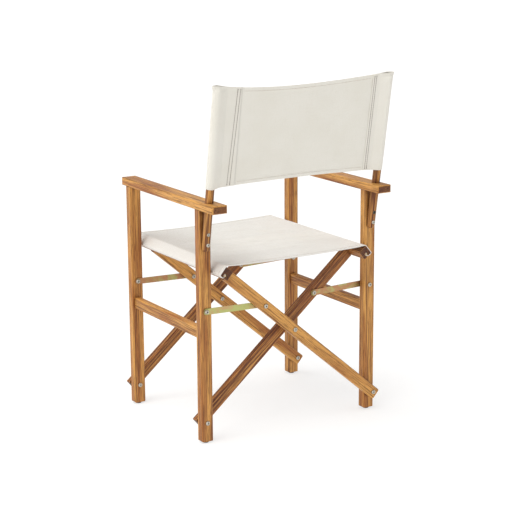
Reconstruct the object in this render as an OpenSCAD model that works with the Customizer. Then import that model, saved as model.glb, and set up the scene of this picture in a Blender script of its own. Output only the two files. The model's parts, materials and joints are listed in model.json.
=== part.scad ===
// Folding director chair: two side frames, a double scissor of cross bars,
// four steel links, a canvas seat on two tilting rails and a canvas back on two raked posts.
// +X is the sitter's left, +Y the rear, +Z up. The origin is under the middle of the chair, on the floor.

/* [Overall] */
// Width over the outer faces of the legs
frame_w = 504; // [480:4:520]
// Distance between the front and rear legs, centre to centre
leg_pitch = 351; // [340:1:380]
// Floor to the underside of the armrests
arm_under = 572; // [565:1:590]

/* [Legs] */
// Leg size across the chair
leg_w = 31; // [30:1:34]
// Leg size front to rear
leg_t = 22; // [22:1:24]
// Diameter of the foot glides
glide_d = 15; // [12:1:18]
// Height of the foot glides
glide_h = 4; // [3:1:6]

/* [Armrests] */
// Armrest width
arm_w = 41.5; // [40:0.5:44]
// Armrest thickness
arm_t = 20; // [18:1:24]
// How far the armrest stands out past the front leg
arm_front = 23; // [15:1:35]
// How far the armrest stands out past the rear leg
arm_rear = 65; // [60:1:75]
// How far the armrest stands outside the legs
arm_proud = 1.2; // [0:0.2:4]

/* [Side rails] */
// Side rail height
side_rail_h = 28; // [24:1:34]
// Side rail thickness
side_rail_t = 18; // [16:1:20]
// Floor to the underside of the side rail
side_rail_z = 257; // [250:1:262]

/* [Cross bars and links] */
// Cross bar width
bar_w = 28; // [26:1:30]
// Cross bar thickness
bar_t = 18; // [16:1:20]
// Height of the lower pivots
pivot_z = 50.5; // [48:0.5:54]
// Height of the crossing
cross_z = 252; // [248:1:256]
// Crossing to the link bolt, along the bar
link_r = 110.4; // [108:0.2:112]
// Height of the link bolts on the legs
link_z = 327.8; // [326:0.2:330]
// Width of the flat steel links
link_w = 15; // [13:1:18]
// Thickness of the flat steel links
link_t = 2.4; // [2:0.2:2.6]

/* [Seat] */
// Crossing to the middle of a seat rail, along the bar
rail_r = 261; // [258:1:263]
// Seat rail size across the bar
rail_w = 25; // [24:1:27]
// Seat rail size along the bar
rail_h = 24; // [22:1:26]
// Seat rail length, front to rear
rail_l = 440; // [430:2:444]
// Seat canvas depth, front to rear
seat_d = 443; // [436:1:446]
// Thickness of the canvas
canvas_t = 1.8; // [1.4:0.2:2]

/* [Back] */
// Diameter of the back posts
post_d = 20; // [18:1:21]
// Rake of the back posts from vertical, in degrees
post_lean = 9.8; // [9:0.2:10.4]
// Floor to the lower end of the back posts
post_z = 476; // [470:1:480]
// Length of the back posts
post_l = 384; // [370:2:390]
// Lower end of the post to the lower edge of the back canvas, along the post
back_from = 153; // [140:1:160]
// Height of the back canvas, along the post
back_h = 245; // [235:1:250]

/* [Hidden] */
$fn = 48;

wood = "#b87a40";
wood_dark = "#8a5430";
steel = "#c9c9c4";
link_steel = "#b9b886";
cloth = "#e6e2d6";
plastic = "#3a2a20";

// Fasteners
bolt_r = 3;             // shank radius of every bolt
run_gap = 0.05;         // radial clearance of a running bore
side_gap = 3;           // space between a leg and the bar beside it
skin_gap = 0.3;         // space between faces that slide past each other
head_r = 5.5;           // button head radius
head_h = 3.4;           // button head height
nut_r = 5.6;            // hexagon nut, corner radius
nut_h = 4.6;
dowel_r = 4;
washer_r = 7;

// Frame geometry
leg_x = frame_w / 2 - leg_w / 2;
leg_foot = glide_h;
arm_z = arm_under;
arm_x = frame_w / 2 + arm_proud - arm_w / 2;
bar_angle = atan2(cross_z - pivot_z, leg_x);
bar_lower = sqrt(pow(leg_x, 2) + pow(cross_z - pivot_z, 2));   // lower pivot to crossing
bar_tail = 12;                                                  // bar past the lower pivot
bar_top = bar_lower + rail_r - rail_h / 2;                      // the bar butts under its rail
rail_at = bar_lower + rail_r;
bar_near = leg_t / 2 + side_gap;                                // leg plane to the near face of a bar
bar_far = bar_near + bar_t;

// Back geometry, measured from the rear leg's middle plane
post_y = 12.6;                                   // post axis at its lower end
sleeve_r = post_d / 2 + canvas_t + 0.3;
back_to = back_from + back_h;
rear_reach = post_y + back_to * sin(post_lean) + sleeve_r * cos(post_lean);

// The middle of the whole chair, front to rear, is at Y = 0
y_mid = (leg_pitch / 2 + rear_reach - seat_d / 2) / 2;
y_front = -leg_pitch / 2 - y_mid;
y_rear = leg_pitch / 2 - y_mid;
y_seat = -y_mid;
leg_planes = [y_front, y_rear];

// ---------------------------------------------------------------- helpers

// Rectangle with one true arc at each corner; r lists the radii anticlockwise from the lower left
module round_rect(x0, y0, x1, y1, r) {
    polygon([[x0 + r[0], y0], [x1 - r[1], y0], [x1, y0 + r[1]], [x1, y1 - r[2]],
             [x1 - r[2], y1], [x0 + r[3], y1], [x0, y1 - r[3]], [x0, y0 + r[0]]]);
    translate([x0 + r[0], y0 + r[0]]) circle(r[0]);
    translate([x1 - r[1], y0 + r[1]]) circle(r[1]);
    translate([x1 - r[2], y1 - r[2]]) circle(r[2]);
    translate([x0 + r[3], y1 - r[3]]) circle(r[3]);
}

module even_rect(w, h, r) round_rect(-w / 2, -h / 2, w / 2, h / 2, [r, r, r, r]);

// Extrudes an X-Z drawing from y0 to y1
module along_y(y0, y1) translate([0, y1, 0]) rotate([90, 0, 0]) linear_extrude(y1 - y0) children();

// Extrudes a Y-Z drawing from x0 to x1
module along_x(x0, x1) translate([x0, 0, 0]) rotate([90, 0, 90]) linear_extrude(x1 - x0) children();

// Round bar or bore along Y
module rod_y(r, y0, y1) translate([0, y1, 0]) rotate([90, 0, 0]) cylinder(r = r, h = y1 - y0);

module on_side(side) mirror([side < 0 ? 1 : 0, 0, 0]) children();

// Round rod along +Z with a rounded rim of radius e at both ends
module eased_rod(r, l, e) rotate_extrude() {
    polygon([[0, 0], [r - e, 0], [r, e], [r, l - e], [r - e, l], [0, l]]);
    intersection() {
        union() {
            translate([r - e, e]) circle(e);
            translate([r - e, l - e]) circle(e);
        }
        square([r, l]);
    }
}

// Button head with a hexagon socket, crown towards dir along Y, seated at y
module button_head(y, dir, r = head_r, h = head_h) translate([0, y, 0]) rotate([dir > 0 ? -90 : 90, 0, 0])
    difference() {
        rotate_extrude() intersection() {
            union() {
                square([r, h * 0.4]);
                translate([0, h * 0.4]) square([r - h * 0.6, h * 0.6]);
                translate([r - h * 0.6, h * 0.4]) circle(h * 0.6);
            }
            square([r, h]);
        }
        translate([0, 0, h * 0.4]) cylinder(r = r * 0.42, h = h, $fn = 6);
    }

// Bolt with its head seated at y_head and its plain end at y_end
module bolt(y_head, y_end) {
    button_head(y_head, y_head > y_end ? 1 : -1);
    rod_y(bolt_r, min(y_head, y_end) - (y_head < y_end ? 0.01 : 0), max(y_head, y_end) + (y_head > y_end ? 0.01 : 0));
}

module nut(y0) difference() {
    translate([0, y0 + nut_h, 0]) rotate([90, 0, 0]) cylinder(r = nut_r, h = nut_h, $fn = 6);
    rod_y(bolt_r, y0 - 1, y0 + nut_h + 1);
}

module washer(y0, y1, r = washer_r) difference() {
    rod_y(r, y0, y1);
    rod_y(bolt_r + run_gap, y0 - 1, y1 + 1);
}

module at_pivot(side) translate([side * leg_x, 0, pivot_z]) children();
module at_link_leg(side) translate([side * leg_x, 0, link_z]) children();
module at_cross() translate([0, 0, cross_z]) children();

// Frame of a cross bar: origin at its lower pivot, X along the bar. The seat rail it carries is on this side.
module bar_frame(side) on_side(side) translate([-leg_x, 0, pivot_z]) rotate([0, -bar_angle, 0]) children();

// Frame of a back post: origin at its lower end, Z along the post
module post_frame(side) translate([side * leg_x, y_rear + post_y, post_z]) rotate([-post_lean, 0, 0]) children();

// ---------------------------------------------------------------- side frames

leg_ease = 3;
post_bolt_z = [490.5, 516];                        // heights of the two post bolts
post_sink = [0.8, 3.9];                            // how far each head is let into the post
post_bolt_r = 2.5;
post_head_r = 4.6;

// Y of the back of the post at height z, at its middle
function post_back(z) = y_rear + post_y + (z - post_z) * tan(post_lean) + post_d / 2 / cos(post_lean);

module arm_dowel_places(y) for (dx = [-8, 8]) translate([leg_x + dx, y, arm_z]) children();

module leg_blank(y) {
    intersection() {
        translate([leg_x, y, leg_foot]) linear_extrude(arm_z - leg_foot) even_rect(leg_w, leg_t, leg_ease);
        along_y(y - leg_t, y + leg_t)
            round_rect(leg_x - leg_w / 2, leg_foot, leg_x + leg_w / 2, arm_z, [4, 4, 0.4, 0.4]);
    }
}

module leg_bores(y) {
    translate([leg_x, 0, pivot_z]) rod_y(bolt_r, y - leg_t, y + leg_t);
    translate([leg_x, 0, link_z]) rod_y(bolt_r, y - leg_t, y + leg_t);
    arm_dowel_places(y) translate([0, 0, -17]) cylinder(r = dowel_r, h = 20);
    translate([leg_x, y, 0]) cylinder(r = 2, h = leg_foot + 14);
}

module rail_dowel_bores(y, dir) for (dz = [7, 21])
    translate([leg_x, 0, side_rail_z + dz]) rod_y(dowel_r, min(y, y + dir * 12), max(y, y + dir * 12));

module front_leg(side) color(wood) on_side(side) difference() {
    leg_blank(y_front);
    leg_bores(y_front);
    rail_dowel_bores(y_front + leg_t / 2 + 0.01, -1);
}

// The rear leg is grooved on its rear face for the raked post
module rear_leg(side) color(wood) on_side(side) difference() {
    leg_blank(y_rear);
    leg_bores(y_rear);
    rail_dowel_bores(y_rear - leg_t / 2 - 0.01, 1);
    post_frame(1) translate([0, 0, -0.1]) eased_rod(post_d / 2 + 0.1, 90, 4);
    for (z = post_bolt_z) translate([leg_x, 0, z]) rod_y(post_bolt_r, y_rear - leg_t / 2 + 4, y_rear + leg_t);
}

module armrest(side) color(wood) on_side(side) {
    y0 = y_front - leg_t / 2 - arm_front;
    y1 = y_rear + leg_t / 2 + arm_rear;
    difference() {
        intersection() {
            translate([0, 0, arm_z]) linear_extrude(arm_t)
                round_rect(arm_x - arm_w / 2, y0, arm_x + arm_w / 2, y1, [15, 8, 6, 6]);
            translate([arm_x, y1, arm_z + arm_t / 2]) rotate([90, 0, 0]) linear_extrude(y1 - y0)
                even_rect(arm_w, arm_t, 4);
            along_x(arm_x - arm_w, arm_x + arm_w) round_rect(y0, arm_z, y1, arm_z + arm_t, [4, 4, 4, 4]);
        }
        for (y = leg_planes) arm_dowel_places(y) translate([0, 0, -3]) cylinder(r = dowel_r, h = 15);
        post_frame(1) cylinder(r = post_d / 2 + 0.1, h = post_l);
    }
}

module side_rail(side) color(wood) on_side(side) difference() {
    y0 = y_front + leg_t / 2;
    y1 = y_rear - leg_t / 2;
    translate([leg_x, y1, side_rail_z + side_rail_h / 2]) rotate([90, 0, 0]) linear_extrude(y1 - y0)
        even_rect(side_rail_t, side_rail_h, 3);
    rail_dowel_bores(y0 - 0.01, 1.4);
    rail_dowel_bores(y1 + 0.01, -1.4);
}

module back_post(side) color(wood) difference() {
    post_frame(side) eased_rod(post_d / 2, post_l, 4);
    for (i = [0, 1]) translate([side * leg_x, 0, post_bolt_z[i]]) {
        rod_y(post_bolt_r, y_rear - leg_t, y_rear + 80);
        rod_y(post_head_r + 0.1, post_back(post_bolt_z[i]) - post_sink[i], y_rear + 80);
    }
}

module post_bolts(side) color(steel) for (i = [0, 1]) translate([side * leg_x, 0, post_bolt_z[i]]) {
    seat = post_back(post_bolt_z[i]) - post_sink[i];
    button_head(seat, 1, post_head_r, 3);
    rod_y(post_bolt_r, y_rear - leg_t / 2 + 4.5, seat + 0.01);
}

// A stepped disc with a pin that is pushed into the leg
module foot_glides(side) color(plastic) for (y = leg_planes) translate([side * leg_x, y, 0]) {
    rotate_extrude() {
        polygon([[0, 0], [glide_d / 2 - 1.5, 0], [glide_d / 2, 1.5], [glide_d / 2, glide_h], [0, glide_h]]);
        intersection() {
            translate([glide_d / 2 - 1.5, 1.5]) circle(1.5);
            square(glide_d);
        }
    }
    translate([0, 0, glide_h - 0.01]) cylinder(r = 2, h = 13);
}

module arm_dowels(side) color(wood_dark) on_side(side) for (y = leg_planes)
    arm_dowel_places(y) translate([0, 0, -16]) cylinder(r = dowel_r, h = 27);

module side_rail_dowels(side) color(wood_dark) for (dz = [7, 21]) translate([side * leg_x, 0, side_rail_z + dz]) {
    rod_y(dowel_r, y_front + leg_t / 2 - 11, y_front + leg_t / 2 + 15);
    rod_y(dowel_r, y_rear - leg_t / 2 - 15, y_rear - leg_t / 2 + 11);
}

// On the left the bar is in front of the leg and the head behind it; on the right the bar is behind the leg
module pivot_bolts(side) color(steel) for (y = leg_planes) at_pivot(side)
    if (side > 0) bolt(y + leg_t / 2, y - bar_far - skin_gap - nut_h);
    else bolt(y + bar_far + skin_gap, y - leg_t / 2 - nut_h);

module pivot_nuts(side) color(steel) for (y = leg_planes) at_pivot(side)
    nut(side > 0 ? y - bar_far - skin_gap - nut_h : y - leg_t / 2 - nut_h);

// Spacing washer between the leg and the bar
module pivot_washers(side) color(steel) for (y = leg_planes) at_pivot(side)
    if (side > 0) washer(y - leg_t / 2 - side_gap + skin_gap, y - leg_t / 2);
    else washer(y + leg_t / 2, y + leg_t / 2 + side_gap - skin_gap);

module link_bolts(side) color(steel) for (y = leg_planes) at_link_leg(side)
    if (side > 0) bolt(y + leg_t / 2 + side_gap, y - leg_t / 2 - nut_h);
    else bolt(y + leg_t / 2, y - leg_t / 2 - side_gap - nut_h);

module link_nuts(side) color(steel) for (y = leg_planes) at_link_leg(side)
    nut(side > 0 ? y - leg_t / 2 - nut_h : y - leg_t / 2 - side_gap - nut_h);

// ---------------------------------------------------------------- scissor

// One cross bar in the leg plane y. The rear-side bars (side 1) carry the left rail, the others the right rail.
module cross_bar(side, y) color(wood) {
    y0 = side > 0 ? y + bar_near : y - bar_far;
    centre_r = side > 0 ? bolt_r : bolt_r + run_gap;
    screw = rail_screw_y(side, y);
    bar_frame(side) difference() {
        intersection() {
            along_y(y0, y0 + bar_t)
                round_rect(-bar_tail, -bar_w / 2, bar_top, bar_w / 2, [4, 0.4, 0.4, 4]);
            translate([0, y0 + bar_t / 2, 0]) along_x(-bar_tail, bar_top) even_rect(bar_t, bar_w, 2.5);
        }
        rod_y(bolt_r + run_gap, y0 - 1, y0 + bar_t + 1);
        translate([bar_lower, 0, 0]) rod_y(centre_r, y0 - 1, y0 + bar_t + 1);
        translate([bar_lower + link_r, 0, 0]) rod_y(bolt_r, y0 - 1, y0 + bar_t + 1);
        translate([bar_top - 36, screw, screw_v]) rotate([0, 90, 0]) cylinder(r = screw_r, h = 40);
    }
}

screw_r = 2.2;
screw_v = 4.6;
rod_r = 2.5;
rod_v = -5.7;                 // the rod sits in a bore off the rail's middle
rod_bore_r = 4.6;
slot_w = 4;

function rail_screw_y(side, y) = side > 0 ? y + bar_near + bar_t / 2 : y - bar_far + bar_t / 2;

// Seat rail: a square bar in line with its cross bars, with a keyhole groove for the rolled hem
module seat_rail(side) color(wood) bar_frame(side) difference() {
    translate([rail_at, 0, 0]) along_y(y_seat - rail_l / 2, y_seat + rail_l / 2) difference() {
        even_rect(rail_h, rail_w, 2);
        translate([0, rod_v]) circle(rod_bore_r);
        translate([-slot_w / 2, -rail_w]) square([slot_w, rail_w + rod_v]);
    }
    for (y = leg_planes) translate([rail_at - rail_h, rail_screw_y(side, y), screw_v]) rotate([0, 90, 0]) {
        cylinder(r = screw_r, h = rail_h * 2);
        translate([0, 0, rail_h * 1.5 - 3]) cylinder(r = 4.2, h = 10);
    }
}

module seat_rod(side) color(wood_dark) bar_frame(side)
    translate([rail_at, 0, rod_v]) rod_y(rod_r, y_seat - rail_l / 2 + 2, y_seat + rail_l / 2 - 1);

module rail_screws(side) color(steel) bar_frame(side) for (y = leg_planes)
    translate([bar_top - 35, rail_screw_y(side, y), screw_v]) rotate([0, 90, 0]) {
        cylinder(r = screw_r, h = 35 + rail_h - 0.5);
        translate([0, 0, 35 + rail_h - 3]) cylinder(r = 4.2, h = 2.5);
    }

module centre_bolts() color(steel) for (y = leg_planes) at_cross()
    bolt(y + bar_far, y - bar_far - skin_gap - nut_h);

module centre_spacers() color(steel) for (y = leg_planes) at_cross()
    washer(y - bar_near + skin_gap, y + bar_near, 6.5);

module centre_nuts() color(steel) for (y = leg_planes) at_cross() nut(y - bar_far - skin_gap - nut_h);

// Bolt of a link in its cross bar. It ends at the bar's face: the link can come off it.
module bar_studs(side) color(steel) for (y = leg_planes) bar_frame(side) translate([bar_lower + link_r, 0, 0])
    if (side > 0) bolt(y + bar_far, y + bar_near);
    else bolt(y - bar_far, y - bar_near);

// ---------------------------------------------------------------- links

// Bar bolt of the link on this side, as [x, z]
link_bar = [link_r * cos(bar_angle), pivot_z + (bar_lower + link_r) * sin(bar_angle)];
link_len = norm([leg_x - link_bar[0], link_z - link_bar[1]]);
link_slope = atan2(link_z - link_bar[1], leg_x - link_bar[0]);

// The links are behind the left legs and in front of the right legs
function link_y0(side, y) = side > 0 ? y + leg_t / 2 + skin_gap : y - leg_t / 2 - skin_gap - link_t;

module link_frame(side) on_side(side) translate([link_bar[0], 0, link_bar[1]]) rotate([0, -link_slope, 0]) children();

module link(side, y) color(link_steel) {
    y0 = link_y0(side, y);
    link_frame(side) along_y(y0, y0 + link_t) difference() {
        union() {
            circle(link_w / 2);
            translate([link_len, 0]) circle(link_w / 2);
            translate([0, -link_w / 2]) square([link_len, link_w]);
        }
        circle(bolt_r);
        translate([link_len, 0]) circle(bolt_r + run_gap);
    }
}

// Cap nut on a link's free end, with the stub that fills the link's hole
module link_caps(side, y) color(steel) {
    y0 = link_y0(side, y);
    link_frame(side) if (side > 0) {
        button_head(y0, -1);
        rod_y(bolt_r, y0 - 0.01, y0 + link_t);
    } else {
        button_head(y0 + link_t, 1);
        rod_y(bolt_r, y0, y0 + link_t + 0.01);
    }
}

// ---------------------------------------------------------------- canvas

cloth_gap = 0.3;
seat_top = pivot_z + rail_at * sin(bar_angle) + rail_h / 2 * sin(bar_angle) + rail_w / 2 * cos(bar_angle);
seat_corner_x = rail_at * cos(bar_angle) - leg_x + rail_h / 2 * cos(bar_angle) - rail_w / 2 * sin(bar_angle);

// Half of the seat's section: flat top, then over the rail's outer face, round its lower corner and into the groove
module seat_half() {
    translate([-1, seat_top + cloth_gap]) square([seat_corner_x + 1.6, canvas_t]);
    translate([-leg_x, pivot_z]) rotate(bar_angle) translate([rail_at, 0]) {
        u = rail_h / 2 + cloth_gap;
        v = rail_w / 2 + cloth_gap;
        translate([u, -v - canvas_t]) square([canvas_t, 2 * v + canvas_t + 0.6]);
        translate([-canvas_t / 2, -v - canvas_t]) square([u + canvas_t, canvas_t]);
        translate([-canvas_t / 2, -v - canvas_t]) square([canvas_t, v + canvas_t + rod_v - rod_r - 0.4]);
        translate([0, rod_v]) difference() {
            circle(rod_r + canvas_t);
            circle(rod_r + 0.1);
        }
    }
}

module seat_canvas() color(cloth) along_y(y_seat - seat_d / 2, y_seat + seat_d / 2) {
    seat_half();
    mirror([1, 0]) seat_half();
}

// Back canvas: a panel with a sleeve round each post
module back_canvas() color(cloth) translate([0, y_rear + post_y, post_z]) rotate([-post_lean, 0, 0])
    translate([0, 0, back_from]) linear_extrude(back_h) difference() {
        union() {
            for (x = [-leg_x, leg_x]) translate([x, 0]) circle(sleeve_r);
            translate([-leg_x, -canvas_t / 2]) square([2 * leg_x, canvas_t]);
            for (x = [-leg_x, leg_x]) translate([x - 60, -canvas_t]) square([120, 2 * canvas_t]);
        }
        for (x = [-leg_x, leg_x]) translate([x, 0]) circle(post_d / 2 + 0.3);
        for (s = [-1, 1]) translate([s > 0 ? leg_x + sleeve_r : -leg_x - sleeve_r - 80, -20]) square([80, 40]);
    }

// ---------------------------------------------------------------- nodes

front_leg(1);  // leg_front_left
rear_leg(1);  // leg_rear_left
armrest(1);  // armrest_left
side_rail(1);  // side_rail_left
back_post(1);  // back_post_left
foot_glides(1);  // foot_glides_left
arm_dowels(1);  // arm_dowels_left
side_rail_dowels(1);  // side_rail_dowels_left
post_bolts(1);  // post_bolts_left
pivot_bolts(1);  // pivot_bolts_left
pivot_nuts(1);  // pivot_nuts_left
pivot_washers(1);  // pivot_washers_left
link_bolts(1);  // link_bolts_left
link_nuts(1);  // link_nuts_left
front_leg(-1);  // leg_front_right
rear_leg(-1);  // leg_rear_right
armrest(-1);  // armrest_right
side_rail(-1);  // side_rail_right
back_post(-1);  // back_post_right
foot_glides(-1);  // foot_glides_right
arm_dowels(-1);  // arm_dowels_right
side_rail_dowels(-1);  // side_rail_dowels_right
post_bolts(-1);  // post_bolts_right
pivot_bolts(-1);  // pivot_bolts_right
pivot_nuts(-1);  // pivot_nuts_right
pivot_washers(-1);  // pivot_washers_right
link_bolts(-1);  // link_bolts_right
link_nuts(-1);  // link_nuts_right
cross_bar(1, y_front);  // cross_bar_a_front
cross_bar(1, y_rear);  // cross_bar_a_rear
seat_rail(1);  // seat_rail_left
seat_rod(1);  // seat_rod_left
rail_screws(1);  // rail_screws_left
centre_bolts();
centre_spacers();
centre_nuts();
bar_studs(1);  // bar_studs_left
cross_bar(-1, y_front);  // cross_bar_b_front
cross_bar(-1, y_rear);  // cross_bar_b_rear
seat_rail(-1);  // seat_rail_right
seat_rod(-1);  // seat_rod_right
rail_screws(-1);  // rail_screws_right
bar_studs(-1);  // bar_studs_right
link(1, y_front);  // link_front_left
link(1, y_rear);  // link_rear_left
link(-1, y_front);  // link_front_right
link(-1, y_rear);  // link_rear_right
link_caps(1, y_front);  // link_caps_front_left
link_caps(1, y_rear);  // link_caps_rear_left
link_caps(-1, y_front);  // link_caps_front_right
link_caps(-1, y_rear);  // link_caps_rear_right
seat_canvas();
back_canvas();
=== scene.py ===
"""Looks of a folding director chair: oiled acacia, steel links and bolts, and a cotton canvas seat and back.

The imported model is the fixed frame, in metres. +X is the sitter's left, +Y the rear and +Z up. The wood and
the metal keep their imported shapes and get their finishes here. The canvas is made here as sewn sheets of cloth.
"""

import json
import logging
import math
import zlib
from dataclasses import dataclass, field, replace
from enum import Enum
from typing import Any

import bpy
import numpy as np
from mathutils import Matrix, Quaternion, Vector


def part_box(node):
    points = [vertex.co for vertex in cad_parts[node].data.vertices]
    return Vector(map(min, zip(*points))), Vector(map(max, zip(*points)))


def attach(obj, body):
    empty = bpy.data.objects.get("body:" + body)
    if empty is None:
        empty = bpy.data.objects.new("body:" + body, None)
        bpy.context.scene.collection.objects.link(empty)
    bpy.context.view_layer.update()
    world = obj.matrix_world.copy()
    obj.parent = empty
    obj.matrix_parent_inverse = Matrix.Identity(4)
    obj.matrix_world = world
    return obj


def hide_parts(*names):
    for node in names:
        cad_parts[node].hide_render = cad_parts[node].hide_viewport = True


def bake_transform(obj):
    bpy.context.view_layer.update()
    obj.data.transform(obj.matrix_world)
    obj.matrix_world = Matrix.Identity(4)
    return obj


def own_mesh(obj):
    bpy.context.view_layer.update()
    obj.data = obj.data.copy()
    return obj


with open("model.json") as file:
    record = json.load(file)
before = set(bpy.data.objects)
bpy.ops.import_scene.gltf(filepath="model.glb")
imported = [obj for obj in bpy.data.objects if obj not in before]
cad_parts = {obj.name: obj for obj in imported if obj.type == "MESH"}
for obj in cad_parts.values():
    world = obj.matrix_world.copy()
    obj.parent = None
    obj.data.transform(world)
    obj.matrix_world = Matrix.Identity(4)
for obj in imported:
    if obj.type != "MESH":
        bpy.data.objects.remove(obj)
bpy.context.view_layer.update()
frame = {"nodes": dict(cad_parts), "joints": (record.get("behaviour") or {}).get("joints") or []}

Array = np.ndarray
Tree = bpy.types.NodeTree
Socket = bpy.types.NodeSocket
MM = 0.001
LOG = logging.getLogger("director_chair")


# ---------------------------------------------------------------- colour and nodes


def linear(hex_code: str) -> tuple[float, float, float, float]:
    """Turns an sRGB colour into linear light.

    Args:
        hex_code: the colour as six hexadecimal digits after a hash sign.

    Returns:
        Linear red, green, blue and full alpha.
    """
    parts = [int(hex_code[i : i + 2], 16) / 255 for i in (1, 3, 5)]
    red, green, blue = (p / 12.92 if p <= 0.04045 else ((p + 0.055) / 1.055) ** 2.4 for p in parts)
    return red, green, blue, 1.0


def feed(tree: Tree, node: bpy.types.Node, inputs: dict[Any, Any]) -> None:
    """Sets a node's inputs.

    Args:
        tree: the node tree that holds it.
        node: the node.
        inputs: for each input, by name or number, a constant or the output that feeds it.
    """
    for key, value in inputs.items():
        if isinstance(value, Socket):
            tree.links.new(value, node.inputs[key])
        else:
            node.inputs[key].default_value = value


def add(tree: Tree, kind: str, inputs: dict[Any, Any], **settings: Any) -> bpy.types.Node:
    """Adds one node with its settings and its links.

    Args:
        tree: the node tree.
        kind: the node's type name.
        inputs: for each input, by name or number, a constant or the output that feeds it.
        settings: properties of the node.

    Returns:
        The new node.
    """
    made = tree.nodes.new(kind)
    for key, value in settings.items():
        setattr(made, key, value)
    feed(tree, made, inputs)
    return made


MIX_FACTOR, MIX_A, MIX_B, MIX_RESULT = 0, 6, 7, 2  # the mix node's numbers for its colour inputs and output
WAVE_PERIOD = 2 * math.pi / 20  # a wave texture repeats this often at a scale of one


class BlendMode(Enum):
    """How one colour goes over another."""

    COVER = "MIX"
    DEEPEN = "MULTIPLY"


def tint(tree: Tree, share: Any, under: Any, over: str, mode: BlendMode = BlendMode.COVER) -> Socket:
    """Puts one colour over another.

    Args:
        tree: the material's node tree.
        share: how much of the upper colour shows, a number or an output.
        under: the lower colour, a hex code or an output.
        over: the upper colour's hex code.
        mode: how the colours combine.

    Returns:
        The output that carries the combined colour.
    """
    lower = linear(under) if isinstance(under, str) else under
    inputs = {MIX_FACTOR: share, MIX_A: lower, MIX_B: linear(over)}
    return add(tree, "ShaderNodeMix", inputs, data_type="RGBA", blend_type=mode.value).outputs[MIX_RESULT]


def band(tree: Tree, value: Socket, low: float, high: float, top: float = 1.0) -> Socket:
    """Turns a pattern's values from low to high into a share from nothing to top, with soft ends."""
    inputs = {"Value": value, "From Min": low, "From Max": high, "To Min": 0.0, "To Max": top}
    return add(tree, "ShaderNodeMapRange", inputs, interpolation_type="SMOOTHSTEP").outputs[0]


# ---------------------------------------------------------------- finishes


class Finish:
    """A surface finish on one physical shader. Each kind draws its own pattern."""

    def inputs(self, tree: Tree, place: bpy.types.Node) -> dict[str, Any]:
        """Draws the pattern.

        Args:
            tree: the material's node tree.
            place: its node of coordinates.

        Returns:
            The shader's inputs that differ from the plain ones, each a constant or the output that feeds it.
        """
        raise NotImplementedError

    def material(self, name: str) -> bpy.types.Material:
        """Makes the finish.

        Args:
            name: the material's name.

        Returns:
            The material.
        """
        made = bpy.data.materials.new(name)
        made.use_nodes = True
        tree = made.node_tree
        feed(tree, tree.nodes["Principled BSDF"], self.inputs(tree, add(tree, "ShaderNodeTexCoord", {})))
        return made


class Grain(Enum):
    """Which way a board's grain runs: the board's long direction."""

    UPRIGHT = "upright"
    FRONT_TO_BACK = "front to back"
    BAR_RISING_LEFT = "bar that rises to the left"
    BAR_RISING_RIGHT = "bar that rises to the right"
    RAKED_POST = "raked post"


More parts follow.
